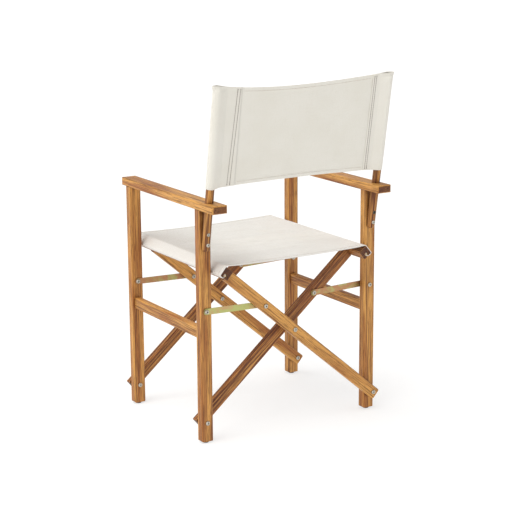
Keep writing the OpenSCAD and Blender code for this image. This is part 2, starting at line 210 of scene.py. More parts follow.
@dataclass(frozen=True)
class OiledAcacia(Finish):
    """Acacia, planed, eased at the edges and oiled.

    It gives the eye golden brown boards with long dark heartwood streaks, a few knots, fine pores along the
    grain, dark end grain, painted shade in the corners and a low silky shine on paler, rubbed edges.
    """

    grain: Vector
    seed: int
    tone: float
    sapwood: str = "#d99f52"
    body: str = "#a5652c"
    heart: str = "#592a10"
    knot: str = "#2c170d"
    end_grain: str = "#7a5540"
    worn: str = "#d6a35e"
    # the colour of the painted shade in corners and on overhung faces
    corner: str = "#74431f"
    ior: float = 1.5
    specular: float = 0.4
    board_band_mm: float = 24.0
    band_length: float = 14.0
    streak_mm: float = 5.0
    streak_length: float = 60.0
    pore_mm: float = 1.6  # real pores are about 0.3 mm wide, drawn coarser so that they show
    pore_length: float = 18.0
    knot_spacing_mm: float = 120.0
    knot_length: float = 1.9
    edge_mm: float = 2.2
    corner_shade_mm: float = 16.0
    relief_mm: float = 0.3
    relief_strength: float = 0.22

    def _stretched(self, tree: Tree, board: Socket, width_mm: float, length: float) -> Socket:
        """Scales the board's coordinates: one unit is a mark's width across and its length along the grain."""
        across = 1 / (width_mm * MM)
        scale = (across, across, across / length)
        return add(tree, "ShaderNodeMapping", {"Vector": board, "Scale": scale}).outputs[0]

    def _marks(self, tree: Tree, board: Socket, width_mm: float, length: float, detail: float,
               twist: float) -> Socket:
        """Draws a cloudy pattern of marks along the grain.

        Args:
            tree: the material's node tree.
            board: the board's coordinates.
            width_mm: a mark's width.
            length: its length, in widths.
            detail: how much finer the finest marks are, in octaves.
            twist: how wavy the marks are.

        Returns:
            The pattern, from 0 to 1.
        """
        where = self._stretched(tree, board, width_mm, length)
        inputs = {"Vector": where, "Scale": 1.0, "Detail": detail, "Roughness": 0.55, "Distortion": twist}
        return add(tree, "ShaderNodeTexNoise", inputs).outputs["Fac"]

    def _grained(self, tree: Tree, board: Socket) -> tuple[Socket, Socket, Socket]:
        """Draws the grain, the pores and the knots.

        Args:
            tree: the material's node tree.
            board: the board's coordinates, whose last one runs along the grain.

        Returns:
            The wood's colour, the streaks and the relief.
        """
        broad = self._marks(tree, board, self.board_band_mm, self.band_length, detail=2.0, twist=0.6)
        streaks = self._marks(tree, board, self.streak_mm, self.streak_length, detail=3.0, twist=1.4)
        lines = self._marks(tree, board, self.streak_mm / 3, self.streak_length, detail=2.0, twist=0.5)
        pores = self._marks(tree, board, self.pore_mm, self.pore_length, detail=2.0, twist=0.0)
        spots = {"Vector": self._stretched(tree, board, self.knot_spacing_mm, self.knot_length), "Scale": 1.0}
        knots = add(tree, "ShaderNodeTexVoronoi", spots, feature="F1").outputs["Distance"]

        edge = 0.5 + 0.22 * (0.5 - self.tone)
        colour = tint(tree, band(tree, broad, edge - 0.16, edge + 0.16), self.sapwood, self.body)
        colour = tint(tree, band(tree, streaks, edge, edge + 0.13, 0.6 + 0.4 * self.tone), colour, self.heart)
        colour = tint(tree, band(tree, lines, 0.52, 0.62, 0.6), colour, self.heart)
        colour = tint(tree, band(tree, lines, 0.46, 0.36, 0.45), colour, self.sapwood)
        colour = tint(tree, band(tree, pores, 0.52, 0.66, 0.5), colour, self.heart)
        colour = tint(tree, band(tree, knots, 0.15, 0.07, 0.45), colour, self.heart)
        colour = tint(tree, band(tree, knots, 0.075, 0.03, 0.9), colour, self.knot)
        relief = add(tree, "ShaderNodeMath", {0: lines, 1: 0.6, 2: pores}, operation="MULTIPLY_ADD")
        return colour, streaks, relief.outputs[0]

    def inputs(self, tree: Tree, place: bpy.types.Node) -> dict[str, Any]:
        """Draws the grain, then the end grain, the rubbed edges and the painted shade in the corners.

        Args:
            tree: the material's node tree.
            place: its node of coordinates.

        Returns:
            The shader's inputs.
        """
        turn = self.grain.rotation_difference(Vector((0, 0, 1))).to_euler()
        shift = tuple(((self.seed >> step) % 97) * 0.013 for step in (0, 7, 14))
        turned = {"Vector": place.outputs["Object"], "Rotation": tuple(turn), "Location": shift}
        colour, streaks, relief = self._grained(tree, add(tree, "ShaderNodeMapping", turned).outputs[0])

        facing = {0: place.outputs["Normal"], 1: tuple(self.grain)}
        facing = add(tree, "ShaderNodeVectorMath", facing, operation="DOT_PRODUCT").outputs["Value"]
        ends = add(tree, "ShaderNodeMath", {0: facing}, operation="ABSOLUTE").outputs[0]
        colour = tint(tree, band(tree, ends, 0.8, 0.97, 0.85), colour, self.end_grain, BlendMode.DEEPEN)

        rounded = add(tree, "ShaderNodeBevel", {"Radius": self.edge_mm * MM}, samples=4).outputs[0]
        bend = {0: rounded, 1: add(tree, "ShaderNodeNewGeometry", {}).outputs["True Normal"]}
        bend = add(tree, "ShaderNodeVectorMath", bend, operation="DOT_PRODUCT").outputs["Value"]
        colour = tint(tree, band(tree, bend, 0.985, 0.86, 0.3), colour, self.worn)

        # painted shade: darker colour where ambient occlusion finds corners and overhangs
        open_sky = add(tree, "ShaderNodeAmbientOcclusion", {"Distance": self.corner_shade_mm * MM}, samples=4)
        corners = band(tree, open_sky.outputs["AO"], 0.75, 0.3, 0.8)
        colour = tint(tree, corners, colour, self.corner, BlendMode.DEEPEN)

        rough = {"Value": streaks, "From Min": 0.3, "From Max": 0.7, "To Min": 0.44, "To Max": 0.56}
        bump = {"Height": relief, "Strength": self.relief_strength, "Distance": self.relief_mm * MM}
        return {
            "Base Color": colour,
            "Roughness": add(tree, "ShaderNodeMapRange", rough).outputs[0],
            "Normal": add(tree, "ShaderNodeBump", bump, invert=True).outputs[0],
            "IOR": self.ior,
            "Specular IOR Level": self.specular,
        }


@dataclass(frozen=True)
class TurnedBeech(Finish):
    """Plain beech rod, turned and left without oil: a pale even wood with short darker flecks."""

    pale: str = "#dcc09a"
    fleck: str = "#b48d62"
    fleck_mm: float = 1.2
    fleck_length: float = 6.0
    roughness: float = 0.62

    def inputs(self, tree: Tree, place: bpy.types.Node) -> dict[str, Any]:
        """Draws the flecks along the rod.

        Args:
            tree: the material's node tree.
            place: its node of coordinates.

        Returns:
            The shader's inputs.
        """
        across = 1 / (self.fleck_mm * MM)
        where = {"Vector": place.outputs["Object"], "Scale": (across, across / self.fleck_length, across)}
        where = add(tree, "ShaderNodeMapping", where).outputs[0]
        marks = add(tree, "ShaderNodeTexNoise", {"Vector": where, "Scale": 1.0, "Detail": 2.0}).outputs["Fac"]
        return {"Base Color": tint(tree, band(tree, marks, 0.5, 0.7, 0.7), self.pale, self.fleck),
                "Roughness": self.roughness}


@dataclass(frozen=True)
class PlatedSteel(Finish):
    """Steel with a thin zinc coat, tumbled and passivated.

    Clear passivation gives the eye a neutral silver with soft grey clouds. Yellow passivation gives a
    greenish gold that drifts towards rose where the film is thicker.
    """

    main: str
    drift: str
    cloud_mm: float
    roughness: float
    scuff_mm: float = 0.8  # the tumbling marks are about 0.2 mm, drawn coarser so that they show
    # the colour of the painted shade in recesses and on deep-set heads
    recess_shade: str = "#2a2320"
    recess_shade_mm: float = 2.6
    shaded_from_mm: float = 1e4  # heads above this height sit deep in their holes and get painted shade

    def inputs(self, tree: Tree, place: bpy.types.Node) -> dict[str, Any]:
        """Draws the clouds of the coat, painted shade in the recesses and on deep-set heads, and the scuffs.

        Args:
            tree: the material's node tree.
            place: its node of coordinates.

        Returns:
            The shader's inputs.
        """
        spot = place.outputs["Object"]
        cloud = {"Vector": spot, "Scale": 1 / (self.cloud_mm * MM), "Detail": 3.0, "Distortion": 0.8}
        cloud = add(tree, "ShaderNodeTexNoise", cloud).outputs["Fac"]
        scuff = {"Vector": spot, "Scale": 1 / (self.scuff_mm * MM)}
        scuff = add(tree, "ShaderNodeTexNoise", scuff).outputs["Fac"]
        colour = tint(tree, band(tree, cloud, 0.46, 0.66, 0.8), self.main, self.drift)
        # painted shade: darker colour where ambient occlusion finds recesses, such as sockets and under heads
        open_sky = add(tree, "ShaderNodeAmbientOcclusion", {"Distance": self.recess_shade_mm * MM}, samples=4)
        colour = tint(tree, band(tree, open_sky.outputs["AO"], 0.72, 0.35, 0.92), colour, self.recess_shade)
        # painted shade: heads that sit deep in their holes are darkened, by height
        height = add(tree, "ShaderNodeSeparateXYZ", {"Vector": spot}).outputs["Z"]
        painted_hole_shade = band(tree, height, (self.shaded_from_mm - 1) * MM, (self.shaded_from_mm + 1) * MM, 0.85)
        rough = {"Value": scuff, "To Min": self.roughness - 0.07, "To Max": self.roughness + 0.1}
        bump = {"Height": scuff, "Strength": 0.08, "Distance": 0.1 * MM}
        return {
            "Base Color": tint(tree, painted_hole_shade, colour, self.recess_shade),
            "Metallic": 1.0,
            "Roughness": add(tree, "ShaderNodeMapRange", rough).outputs[0],
            "Normal": add(tree, "ShaderNodeBump", bump).outputs[0],
        }


@dataclass(frozen=True)
class MouldedNylon(Finish):
    """Dark brown nylon, moulded with a fine spark-eroded texture, scuffed pale where it meets the floor."""

    main: str = "#33241b"
    scuffed: str = "#6b5a4c"
    grit_mm: float = 0.5
    scuff_height_mm: float = 1.4
    ior: float = 1.53
    roughness: float = 0.48

    def inputs(self, tree: Tree, place: bpy.types.Node) -> dict[str, Any]:
        """Draws the grit and the scuffed foot.

        Args:
            tree: the material's node tree.
            place: its node of coordinates.

        Returns:
            The shader's inputs.
        """
        spot = place.outputs["Object"]
        grit = {"Vector": spot, "Scale": 1 / (self.grit_mm * MM)}
        grit = add(tree, "ShaderNodeTexNoise", grit).outputs["Fac"]
        low = band(tree, add(tree, "ShaderNodeSeparateXYZ", {"Vector": spot}).outputs["Z"],
                   self.scuff_height_mm * MM, 0.0, 0.7)
        bump = {"Height": grit, "Strength": 0.15, "Distance": 0.1 * MM}
        return {
            "Base Color": tint(tree, low, self.main, self.scuffed),
            "Normal": add(tree, "ShaderNodeBump", bump).outputs[0],
            "Roughness": self.roughness,
            "IOR": self.ior,
        }


CLOTH_MAP = "cloth"


@dataclass(frozen=True)
class CottonDuck(Finish):
    """Heavy cotton duck in its natural off-white, plain woven from doubled yarn and washed once.

    It gives the eye a matt cloth with a square grain, thicker and thinner yarns here and there, and a faint
    warm unevenness over a hand's breadth.
    """

    main: str
    warm: str
    gap: str = "#bbb5a8"
    yarn_mm: float = 1.5  # the yarns are 0.75 mm apart, drawn at twice that so that the weave shows
    slub_mm: float = 2.4
    slub_length: float = 14.0
    slub_height: float = 0.6
    cloud_mm: float = 70.0
    roughness: float = 0.88
    sheen: float = 0.12
    sheen_roughness: float = 0.5

    def _weave(self, tree: Tree, flat: Socket) -> Socket:
        """Draws the yarns, which go over and under each other in turn.

        Args:
            tree: the material's node tree.
            flat: the cloth's own flat coordinates.

        Returns:
            The height of the weave, from 0 in the gaps to 1.
        """
        ridges = {"Vector": flat, "Scale": WAVE_PERIOD / (self.yarn_mm * MM), "Distortion": 0.0}
        warp, weft = (add(tree, "ShaderNodeTexWave", ridges, wave_type="BANDS", bands_direction=way,
                          wave_profile="SIN").outputs["Fac"] for way in ("X", "Y"))
        squares = {"Vector": flat, "Scale": 1 / (self.yarn_mm * MM),
                   "Color1": (1, 1, 1, 1), "Color2": (0, 0, 0, 1)}
        over = add(tree, "ShaderNodeTexChecker", squares).outputs["Fac"]
        return add(tree, "ShaderNodeMix", {0: over, 2: warp, 3: weft}, data_type="FLOAT").outputs[0]

    def inputs(self, tree: Tree, place: bpy.types.Node) -> dict[str, Any]:
        """Draws the weave, its thicker yarns and the broad unevenness.

        Args:
            tree: the material's node tree.
            place: its node of coordinates.

        Returns:
            The shader's inputs.
        """
        flat = add(tree, "ShaderNodeUVMap", {}, uv_map=CLOTH_MAP).outputs[0]
        weave = height = self._weave(tree, flat)
        cloud = {"Vector": place.outputs["Object"], "Scale": 1 / (self.cloud_mm * MM), "Detail": 3.0}
        cloud = add(tree, "ShaderNodeTexNoise", cloud).outputs["Fac"]
        colour = tint(tree, band(tree, cloud, 0.35, 0.7, 0.35), self.main, self.warm)
        slub = 1 / (self.slub_mm * MM)
        for scale in ((slub, slub / self.slub_length, slub), (slub / self.slub_length, slub, slub)):
            where = add(tree, "ShaderNodeMapping", {"Vector": flat, "Scale": scale}).outputs[0]
            mark = {"Vector": where, "Scale": 1.0, "Detail": 1.0}
            mark = add(tree, "ShaderNodeTexNoise", mark).outputs["Fac"]
            colour = tint(tree, band(tree, mark, 0.56, 0.74, 0.35), colour, self.warm)
            raised = {0: mark, 1: self.slub_height, 2: height}
            height = add(tree, "ShaderNodeMath", raised, operation="MULTIPLY_ADD").outputs[0]
        bump = {"Height": height, "Strength": 0.35, "Distance": 0.25 * MM}
        return {
            "Base Color": tint(tree, band(tree, weave, 0.38, 0.0, 0.42), colour, self.gap),
            "Normal": add(tree, "ShaderNodeBump", bump).outputs[0],
            "Roughness": self.roughness,
            "Sheen Weight": self.sheen,
            "Sheen Roughness": self.sheen_roughness,
        }


@dataclass(frozen=True)
class TwistedThread(Finish):
    """Bonded polyester sewing thread: a smooth cord with a slanting twist, a little glossier than the cloth."""

    main: str
    shade: str
    twist_mm: float = 0.9
    roughness: float = 0.6

    def inputs(self, tree: Tree, place: bpy.types.Node) -> dict[str, Any]:
        """Draws the twist.

        Args:
            tree: the material's node tree.
            place: its node of coordinates.

        Returns:
            The shader's inputs.
        """
        twist = {"Vector": place.outputs["Object"], "Scale": WAVE_PERIOD / (self.twist_mm * MM),
                 "Distortion": 0.4}
        twist = add(tree, "ShaderNodeTexWave", twist, bands_direction="DIAGONAL").outputs["Fac"]
        return {"Base Color": tint(tree, twist, self.shade, self.main), "Roughness": self.roughness}


@dataclass(frozen=True)
class LitCove(Finish):
    """Matt paint on a cove that is lit from below too: an even white floor with hardly a shadow."""

    main: str = "#a9a9a9"
    light: str = "#ffffff"
    glow: float = 0.66
    patches: float = 1.5
    specular: float = 0.1

    def inputs(self, tree: Tree, place: bpy.types.Node) -> dict[str, Any]:
        """Draws the slightly uneven gloss of rolled paint.

        Args:
            tree: the material's node tree.
            place: its node of coordinates.

        Returns:
            The shader's inputs.
        """
        cloud = {"Vector": place.outputs["Object"], "Scale": self.patches}
        cloud = add(tree, "ShaderNodeTexNoise", cloud).outputs["Fac"]
        rough = {"Value": cloud, "To Min": 0.85, "To Max": 0.95}
        return {
            "Roughness": add(tree, "ShaderNodeMapRange", rough).outputs[0],
            "Base Color": linear(self.main),
            "Specular IOR Level": self.specular,
            "Emission Color": linear(self.light),
            "Emission Strength": self.glow,
        }


CLEAR_ZINC = PlatedSteel(main="#c9c4b8", drift="#968f84", cloud_mm=4.0, roughness=0.34)
# a copy of the clear zinc with painted shade on the heads that sit deep in their holes
SHADED_DEEP_SET_ZINC = replace(CLEAR_ZINC, shaded_from_mm=504)
YELLOW_ZINC = PlatedSteel(main="#b9bb79", drift="#c79f78", cloud_mm=26.0, roughness=0.42)
ROSE_ZINC = PlatedSteel(main="#b98b66", drift="#b5b678", cloud_mm=30.0, roughness=0.44)
SEAT_DUCK = CottonDuck(main="#eceae6", warm="#e4e1da")
BACK_DUCK = CottonDuck(main="#e9e6dd", warm="#e1ddd1")
BROWN_THREAD = TwistedThread(main="#5e3727", shade="#38211a")
FAWN_THREAD = TwistedThread(main="#b7a08c", shade="#8f7b6b")


# ---------------------------------------------------------------- layout


@dataclass(frozen=True)
class Layout:
    """Where the frame's own parts are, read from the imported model."""

    leg_x: float
    y_rear: float
    y_seat: float
    bar_angle: float
    rail_x: float
    rail_z: float
    seat_top: float

    @classmethod
    def from_frame(cls) -> "Layout":
        """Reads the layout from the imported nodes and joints.

        Returns:
            The layout, in metres and radians.
        """
        low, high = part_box("leg_rear_left")
        leg_x, y_rear = (low.x + high.x) / 2, (low.y + high.y) / 2
        low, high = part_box("seat_canvas")
        y_seat, seat_top = (low.y + high.y) / 2, high.z
        low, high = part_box("seat_rail_left")
        heights = {joint["name"]: joint["pos_m"][2] for joint in frame["joints"]}
        bar_angle = math.atan2(heights["scissor_centre"] - heights["fold"], leg_x)
        return cls(leg_x, y_rear, y_seat, bar_angle, (low.x + high.x) / 2, (low.z + high.z) / 2, seat_top)

    def direction(self, grain: Grain) -> Vector:
        """Works out the way that a board's grain runs.

        Args:
            grain: the kind of board.

        Returns:
            The unit direction.
        """
        lean = math.radians(BackCanvas.lean_degrees)
        along, rise = math.cos(self.bar_angle), math.sin(self.bar_angle)
        return {
            Grain.UPRIGHT: Vector((0, 0, 1)),
            Grain.FRONT_TO_BACK: Vector((0, 1, 0)),
            Grain.BAR_RISING_LEFT: Vector((along, 0, rise)),
            Grain.BAR_RISING_RIGHT: Vector((-along, 0, rise)),
            Grain.RAKED_POST: Vector((0, math.sin(lean), math.cos(lean))),
        }[grain]


# ---------------------------------------------------------------- cloth tools


def ease(low: float, high: float, value: Any) -> Any:
    """A share that rises smoothly from 0 at low to 1 at high."""
    share = np.clip((value - low) / (high - low), 0, 1)
    return share * share * (3 - 2 * share)


def fillet(before: Vector, corner: Vector, after: Vector, radius: float, steps: int = 5) -> list[Vector]:
    """Rounds one corner of a line.

    Args:
        before: a point on the way in.
        corner: the corner itself.
        after: a point on the way out.
        radius: the arc's radius.
        steps: how many pieces the arc is cut into.

    Returns:
        The arc's points, in order.
    """
    way_in, way_out = (before - corner).normalized(), (after - corner).normalized()
    half = way_in.angle(way_out) / 2
    centre = corner + (way_in + way_out).normalized() * (radius / math.sin(half))
    first = corner + way_in * (radius / math.tan(half)) - centre
    last = corner + way_out * (radius / math.tan(half)) - centre
    angle = first.angle(last)
    turns = [(math.sin(angle * (1 - k / steps)), math.sin(angle * k / steps)) for k in range(steps + 1)]
    return [centre + (first * a + last * b) / math.sin(angle) for a, b in turns]


def arc(centre: Vector, radius: float, start: float, end: float, steps: int) -> list[Vector]:
    """Points of a circle's arc, from start to end in degrees."""
    angles = [math.radians(start + (end - start) * k / steps) for k in range(steps + 1)]
    return [centre + Vector((math.cos(a), math.sin(a))) * radius for a in angles]


def densify(points: list[Vector], pitch: float) -> list[Vector]:
    """Adds points on the long stretches of a line.

    Args:
        points: the line's points.
        pitch: the longest stretch that may stay.

    Returns:
        The line with its added points.
    """
    dense = [points[0]]
    for start, end in zip(points, points[1:]):
        pieces = max(1, math.ceil((end - start).length / pitch))
        dense += [start.lerp(end, k / pieces) for k in range(1, pieces + 1)]
    return dense


def lengths(points: Array) -> Array:
    """Distance along a line of points to each of them."""
    return np.concatenate([[0.0], np.cumsum(np.linalg.norm(np.diff(points, axis=0), axis=1))])


def grid_normals(grid: Array) -> Array:
    """Unit normals of a grid of points.

    Args:
        grid: the points, by column and row.

    Returns:
        The columns' direction times the rows' direction, at each point.
    """
    first, second = np.gradient(grid, axis=0), np.gradient(grid, axis=1)
    normal = np.cross(first, second)
    return normal / np.maximum(np.linalg.norm(normal, axis=2, keepdims=True), 1e-12)


def hemmed_rows(length: float, hem: float, pitch: float) -> Array:
    """Places of the cross rows of a hemmed cloth, close together at the edges and at the hems' inner folds.

    Args:
        length: from one hemmed edge to the other.
        hem: the hem's width.
        pitch: the greatest spacing between rows.

    Returns:
        Distances from the first edge, in order.
    """
    rounding = [0.0, 0.25 * MM, 0.7 * MM, 1.6 * MM]
    start = rounding + [hem * 0.45] + [hem + step * MM for step in (-2.2, -1.2, -0.6, 0.0, 0.6, 2.5)]
    middle = length - 2 * start[-1]
    pieces = math.ceil(middle / pitch)
    inner = [start[-1] + middle * k / pieces for k in range(1, pieces)]
    return np.array(start + inner + [length - s for s in reversed(start)])


def edge_roll(distance: Array, width: float = 0.9 * MM) -> Array:
    """How full the cloth is near a cut or folded edge: rounded off to a third at the very edge."""
    share = np.clip(distance / width, 0, 1)
    return 0.34 + 0.66 * np.sqrt(1 - (1 - share) ** 2)


def mesh_object(name: str, points: Array, faces: list[tuple[int, ...]]) -> bpy.types.Object:
    """Makes a smooth-shaded mesh object.

    Args:
        name: the piece's name.
        points: its vertices, one to a row.
        faces: vertex numbers of each face.

    Returns:
        The object, linked to the scene.
    """
    mesh = bpy.data.meshes.new(name)
    mesh.from_pydata([tuple(p) for p in points], [], faces)
    mesh.shade_smooth()
    made = bpy.data.objects.new(name, mesh)
    bpy.context.scene.collection.objects.link(made)
    return made


def thick_sheet(name: str, grid: Array, above: Array, below: Array, flat: Array) -> bpy.types.Object:
    """Makes closed cloth from its middle surface.

    Args:
        name: the piece's name.
        grid: points of the middle surface, by column and row.
        above: thickness on the side of the normals, for each point.
        below: thickness on the other side, for each point.
        flat: each point's place on the flat cloth, in metres.

    Returns:
        The closed sheet, with its flat measure as a texture map.
    """
    columns, rows = grid.shape[:2]
    normal = grid_normals(grid)
    outer, inner = grid + normal * above[..., None], grid - normal * below[..., None]
    points = np.concatenate([outer.reshape(-1, 3), inner.reshape(-1, 3)])
    spots = np.concatenate([flat.reshape(-1, 2)] * 2)
    back = columns * rows
    faces: list[tuple[int, ...]] = []
    for i in range(columns - 1):
        for j in range(rows - 1):
            a, b, c, d = i * rows + j, (i + 1) * rows + j, (i + 1) * rows + j + 1, i * rows + j + 1
            faces.append((a, b, c, d))
            faces.append((back + d, back + c, back + b, back + a))
    for i in range(columns - 1):
        for j, flip in ((0, False), (rows - 1, True)):
            a, b = i * rows + j, (i + 1) * rows + j
            side = (a, back + a, back + b, b)
            faces.append(side[::-1] if flip else side)
    for j in range(rows - 1):
        for i, flip in ((0, True), (columns - 1, False)):
            a, b = i * rows + j, i * rows + j + 1
            side = (a, back + a, back + b, b)
            faces.append(side[::-1] if flip else side)
    made = mesh_object(name, points, faces)
    layer = made.data.uv_layers.new(name=CLOTH_MAP)
    corners = np.zeros(len(made.data.loops), int)
    made.data.loops.foreach_get("vertex_index", corners)
    layer.data.foreach_set("uv", spots[corners].astype(np.float32).ravel())
    return made


@dataclass(frozen=True)
class Stitch:
    """A sewing machine's stitch: its length, the spacing from one to the next and the thread's radius."""

    length: float
    pitch: float
    thread: float


SEAM_STITCH = Stitch(length=4.7 * MM, pitch=5.4 * MM, thread=0.55 * MM)
SEAT_HEM_STITCH = Stitch(length=3.1 * MM, pitch=4.0 * MM, thread=0.32 * MM)
BACK_HEM_STITCH = replace(SEAT_HEM_STITCH, thread=0.3 * MM)


def sewn_line(line: Array, normal: Array, stitch: Stitch) -> bpy.types.Object:
    """Sews a row of stitches on a surface.

    Args:
        line: points of the row on the cloth's surface.
        normal: the surface's direction at each of them.
        stitch: the kind of stitch.

    Returns:
        One mesh of all the stitches, each a short arched capsule whose ends dip into the cloth.
    """
    sides = 6
    # each ring of a capsule: its place along the stitch, then its size and its lift in thread radii
    half = ((-0.5, 0.55, -0.55), (-0.3, 0.95, 0.1))
    rings = half + ((0.0, 1.0, 0.35),) + tuple((-place, size, lift) for place, size, lift in reversed(half))
    run = lengths(line)
    count = max(1, int(run[-1] / stitch.pitch))

    def at(table: Array, place: float) -> Array:
        """The table's row at a distance along the run."""
        return np.array([np.interp(place, run, table[:, axis]) for axis in range(3)])

    points: list[Array] = []
    faces: list[tuple[int, ...]] = []
    for k in range(count):
        centre = (k + 0.5) * run[-1] / count
        first = len(points)
        for offset, size, lift in rings:
            place = np.clip(centre + offset * stitch.length, 0, run[-1])
            spot, up = at(line, place), at(normal, place)
            ahead, behind = min(place + stitch.length / 4, run[-1]), max(place - stitch.length / 4, 0)
            side = np.cross(at(line, ahead) - at(line, behind), up)
            side /= np.linalg.norm(side)
            up /= np.linalg.norm(up)
            for angle in (2 * math.pi * s / sides for s in range(sides)):
                rim = (side * math.cos(angle) + up * math.sin(angle)) * stitch.thread * size
                points.append(spot + up * lift * stitch.thread + rim)
        for r in range(len(rings) - 1):
            for s in range(sides):
                a, b = first + r * sides + s, first + r * sides + (s + 1) % sides
                faces.append((a, b, b + sides, a + sides))
        last = first + (len(rings) - 1) * sides
        faces.append(tuple(first + s for s in reversed(range(sides))))
        faces.append(tuple(last + s for s in range(sides)))
    return mesh_object("stitches", np.array(points), faces)


def join(name: str, pieces: list[bpy.types.Object]) -> bpy.types.Object:
    """Joins meshes into one piece.

    Args:
        name: the piece's name.
        pieces: the meshes, which go.

    Returns:
        The piece.
    """
    points = np.concatenate([np.array([v.co for v in piece.data.vertices]) for piece in pieces])
    faces: list[tuple[int, ...]] = []
    start = 0
    for piece in pieces:
        faces += [tuple(start + v for v in face.vertices) for face in piece.data.polygons]
        start += len(piece.data.vertices)
        bpy.data.objects.remove(piece)
    return mesh_object(name, points, faces)


def sew_hems(name: str, finish: str, places: tuple[float, float], along: Array, stitch: Stitch,
             sides: list[tuple[Array, Array]]) -> bpy.types.Object:
    """Sews the two hems of a cloth.

    Args:
        name: the name of the piece that they make.
        finish: the name of its material.
        places: distance of each hem's row of stitches from the first edge.
        along: distance of each row of the cloth's points from the first edge.
        stitch: the kind of stitch.
        sides: for each side that is sewn, the surface's points and its directions, by column and row.

    Returns:
        The stitches, in fawn thread.
    """
    rows = []
    for place in places:
        row = int(np.argmin(np.abs(along - place)))
        rows += [sewn_line(points[:, row], normal[:, row], stitch) for points, normal in sides]
    stitches = join(name, rows)
    stitches.data.materials.append(FAWN_THREAD.material(finish))
    return stitches


@dataclass(frozen=True)
class ClothRelaxer:
    """Lets a stretched cloth settle under its own weight between the lines that hold it."""

    frames: int = 26
    quality: int = 7
    vertex_mass: float = 0.0006
    stretch_stiffness: float = 18.0
    shear_stiffness: float = 6.0
    bend_stiffness: float = 0.05
    air_damping: float = 4.0

    def settle(self, grid: Array, held: Array) -> Array:
        """Runs the cloth simulation.

        Args:
            grid: points of the cloth's middle surface, by column and row.
            held: how firmly each point is held, from 0 to 1.

        Returns:
            The settled points, as a grid of the same shape.
        """
        columns, rows = grid.shape[:2]
        faces = [
            (i * rows + j, (i + 1) * rows + j, (i + 1) * rows + j + 1, i * rows + j + 1)
            for i in range(columns - 1)
            for j in range(rows - 1)
        ]
        trial = mesh_object("trial_cloth", grid.reshape(-1, 3), faces)
        group = trial.vertex_groups.new(name="held")
        for index, weight in enumerate(held.ravel()):
            if weight > 0:
                group.add([index], float(weight), "REPLACE")
        cloth = trial.modifiers.new("settle", "CLOTH")
        settings = cloth.settings
        settings.quality = self.quality
        settings.mass = self.vertex_mass
        settings.tension_stiffness = settings.compression_stiffness = self.stretch_stiffness
        settings.shear_stiffness = self.shear_stiffness
        settings.bending_stiffness = self.bend_stiffness
        settings.air_damping = self.air_damping
        settings.vertex_group_mass = "held"
        cloth.collision_settings.use_collision = False
        cloth.point_cache.frame_start, cloth.point_cache.frame_end = 1, self.frames
        scene = bpy.context.scene
        for step in range(1, self.frames + 1):
            scene.frame_set(step)
        evaluated = trial.evaluated_get(bpy.context.evaluated_depsgraph_get())
        settled = np.zeros(columns * rows * 3)
        evaluated.data.vertices.foreach_get("co", settled)
        scene.frame_set(1)
        bpy.data.objects.remove(trial)
        return settled.reshape(grid.shape)


# ---------------------------------------------------------------- wooden frame and metal


@dataclass(frozen=True)
class Boards:
    """Boards of one kind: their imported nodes, the way their grain runs and how dark the wood is."""

    nodes: tuple[str, ...]
    grain: Grain
    tone: float


@dataclass
class WoodenFrame:
    """Every oiled board of the chair. Each has its own stretch of grain."""

    layout: Layout
    boards: list[Boards] = field(default_factory=lambda: [
        Boards(("leg_front_left", "leg_rear_left", "leg_front_right", "leg_rear_right"), Grain.UPRIGHT, 0.45),
        Boards(("armrest_left", "armrest_right"), Grain.FRONT_TO_BACK, 0.35),
        Boards(("side_rail_left", "side_rail_right"), Grain.FRONT_TO_BACK, 0.45),
        Boards(("cross_bar_a_front", "cross_bar_a_rear"), Grain.BAR_RISING_LEFT, 0.3),
        Boards(("cross_bar_b_front", "cross_bar_b_rear"), Grain.BAR_RISING_RIGHT, 0.8),
        Boards(("seat_rail_left", "seat_rail_right"), Grain.FRONT_TO_BACK, 0.8),
        Boards(("back_post_left", "back_post_right"), Grain.RAKED_POST, 0.85),
    ])

    def dress(self) -> None:
        """Gives every board its oiled finish."""
        for kind in self.boards:
            for name in kind.nodes:
                finish = OiledAcacia(self.layout.direction(kind.grain), zlib.crc32(name.encode()), kind.tone)
                dress_node(name, finish.material(f"oiled_acacia_{name}"))


def dress_node(name: str, finish: bpy.types.Material) -> None:
    """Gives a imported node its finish, in each of its material slots.

    Args:
        name: the node's name.
        finish: the material.
    """
    for slot in frame["nodes"][name].material_slots:
        slot.material = finish
    LOG.info("%s: %s", name, finish.name)


@dataclass
class Hardware:
    """Bolts, nuts, screws and links, the glides, and the plain dowels and rods."""

    clear_zinc_words: tuple[str, ...] = ("bolts", "nuts", "washers", "screws", "spacers", "studs", "caps")

    def dress(self) -> None:
        """Gives each metal, plastic and beech node its finish."""
        bright = CLEAR_ZINC.material("clear_zinc_steel")
        shaded_deep_set = SHADED_DEEP_SET_ZINC.material("shaded_deep_set_zinc_steel")
        gold, rose = YELLOW_ZINC.material("yellow_zinc_steel"), ROSE_ZINC.material("rose_zinc_steel")
        nylon, beech = MouldedNylon().material("moulded_nylon"), TurnedBeech().material("turned_beech")
        for name in frame["nodes"]:
            if name == "post_bolts_right":
                dress_node(name, shaded_deep_set)
            elif any(word in name for word in self.clear_zinc_words):
                dress_node(name, bright)
            elif name.startswith("link_"):
                dress_node(name, gold if name == "link_rear_left" else rose)
            elif "glides" in name:
                dress_node(name, nylon)
            elif "dowels" in name or "rod" in name:
                dress_node(name, beech)


# ---------------------------------------------------------------- seat


